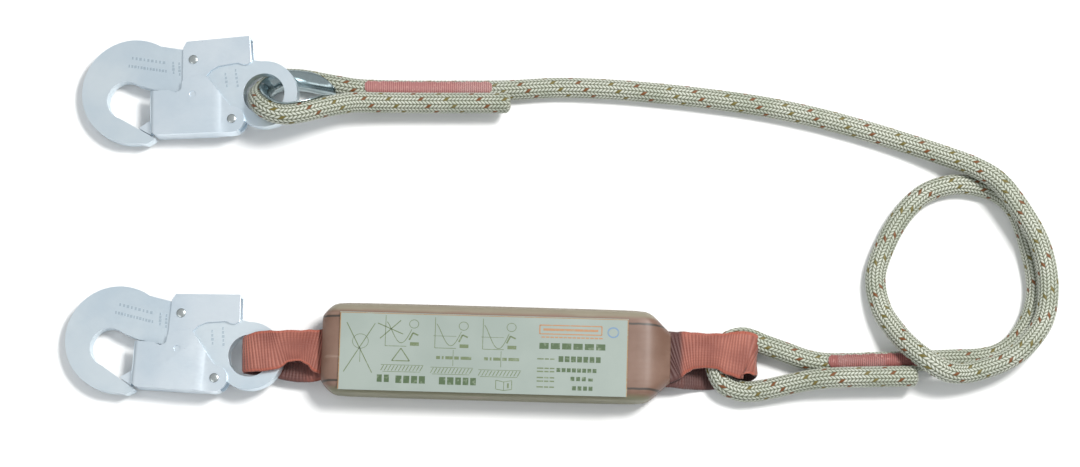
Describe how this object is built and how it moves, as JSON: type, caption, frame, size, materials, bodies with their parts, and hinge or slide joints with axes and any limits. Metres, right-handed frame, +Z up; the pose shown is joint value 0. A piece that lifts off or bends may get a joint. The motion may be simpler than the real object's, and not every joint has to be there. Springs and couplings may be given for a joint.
{
  "type": "shock absorbing lanyard",
  "caption": "Fall arrest lanyard: braided rope with spliced eyes, a webbing energy absorber in a clear sleeve, and double-action snap hooks at its ends.",
  "frame": {"origin": "On the table, under the middle of the hooks and the energy absorber taken together, without the rope.", "axes": "+X runs along the energy absorber away from its hook, +Y runs from the absorber to the other hook, and +Z is up from the table."},
  "size_m": [0.5653, 0.2128, 0.0359],
  "materials": {
    "zinc_plate": "satin zinc plating on a forged plate",
    "zinc_sheet": "satin zinc plating on pressed sheet",
    "rivet_steel": "polished steel",
    "spring_steel": "bare spring wire",
    "thimble_steel": "galvanised sheet",
    "rope_braid": "diamond braid, off-white with a coloured tracer",
    "splice_thread": "heavy sewing thread",
    "clear_film": "clear shrunk film",
    "cover_film": "translucent plastic sleeve",
    "label_paper": "satin printed film",
    "red_webbing": "ribbed woven webbing"
  },
  "bodies": {
    "lanyard": {"rope": "rope_braid", "thimble": "thimble_steel", "upper_stitching": "splice_thread", "lower_stitching": "splice_thread", "upper_sleeve": "clear_film", "lower_sleeve": "clear_film"},
    "absorber": {"absorber_cover": "cover_film", "absorber_label": "label_paper", "tear_webbing": "red_webbing", "tear_stitching": "splice_thread", "left_loop": "red_webbing", "right_loop": "red_webbing", "left_bar_tacks": "splice_thread", "right_bar_tacks": "splice_thread"},
    "upper_hook": {"upper_hook_body": "zinc_plate", "upper_gate_rivet": "rivet_steel", "upper_gate_spring": "spring_steel", "upper_lever_rivet": "rivet_steel", "upper_lever_spring": "spring_steel"},
    "upper_gate": {"upper_gate": "zinc_sheet"},
    "upper_lever": {"upper_lever": "zinc_sheet"},
    "lower_hook": {"lower_hook_body": "zinc_plate", "lower_gate_rivet": "rivet_steel", "lower_gate_spring": "spring_steel", "lower_lever_rivet": "rivet_steel", "lower_lever_spring": "spring_steel"},
    "lower_gate": {"lower_gate": "zinc_sheet"},
    "lower_lever": {"lower_lever": "zinc_sheet"}
  },
  "joints": [
    {"name": "upper_hook_swing", "type": "hinge", "parent": "lanyard", "child": "upper_hook", "pos_m": [-0.08405, 0.07215, 0.0164], "axis": [-0.1167, -0.002, 0.9932], "range_deg": [-20, 20]},
    {"name": "upper_gate_hinge", "type": "hinge", "parent": "upper_hook", "child": "upper_gate", "pos_m": [-0.10217, 0.05763, 0.01424], "axis": [-0.1167, -0.002, 0.9932], "range_deg": [-20, 0], "stiffness_Nm_per_rad": 0.12, "springref_deg": 20.05, "deforming": ["upper_gate_spring"]},
    {"name": "upper_lever_hinge", "type": "hinge", "parent": "upper_hook", "child": "upper_lever", "pos_m": [-0.12514, 0.09314, 0.01162], "axis": [-0.1167, -0.002, 0.9932], "range_deg": [-15, 0], "stiffness_Nm_per_rad": 0.12, "springref_deg": 20.05, "deforming": ["upper_lever_spring"]},
    {"name": "absorber_swing", "type": "hinge", "parent": "lanyard", "child": "absorber", "pos_m": [0.19665, -0.08345, 0.00855], "axis": [0, 0, 1], "range_deg": [-4, 20]},
    {"name": "lower_hook_swing", "type": "hinge", "parent": "absorber", "child": "lower_hook", "pos_m": [-0.09035, -0.07945, 0.0133], "axis": [-0.0869, 0.0067, 0.9962], "range_deg": [-20, 20]},
    {"name": "lower_gate_hinge", "type": "hinge", "parent": "lower_hook", "child": "lower_gate", "pos_m": [-0.10981, -0.09219, 0.01169], "axis": [-0.0869, 0.0067, 0.9962], "range_deg": [-20, 0], "stiffness_Nm_per_rad": 0.12, "springref_deg": 20.05, "deforming": ["lower_gate_spring"]},
    {"name": "lower_lever_hinge", "type": "hinge", "parent": "lower_hook", "child": "lower_lever", "pos_m": [-0.12941, -0.05468, 0.00973], "axis": [-0.0869, 0.0067, 0.9962], "range_deg": [-15, 0], "stiffness_Nm_per_rad": 0.12, "springref_deg": 20.05, "deforming": ["lower_lever_spring"]}
  ]
}
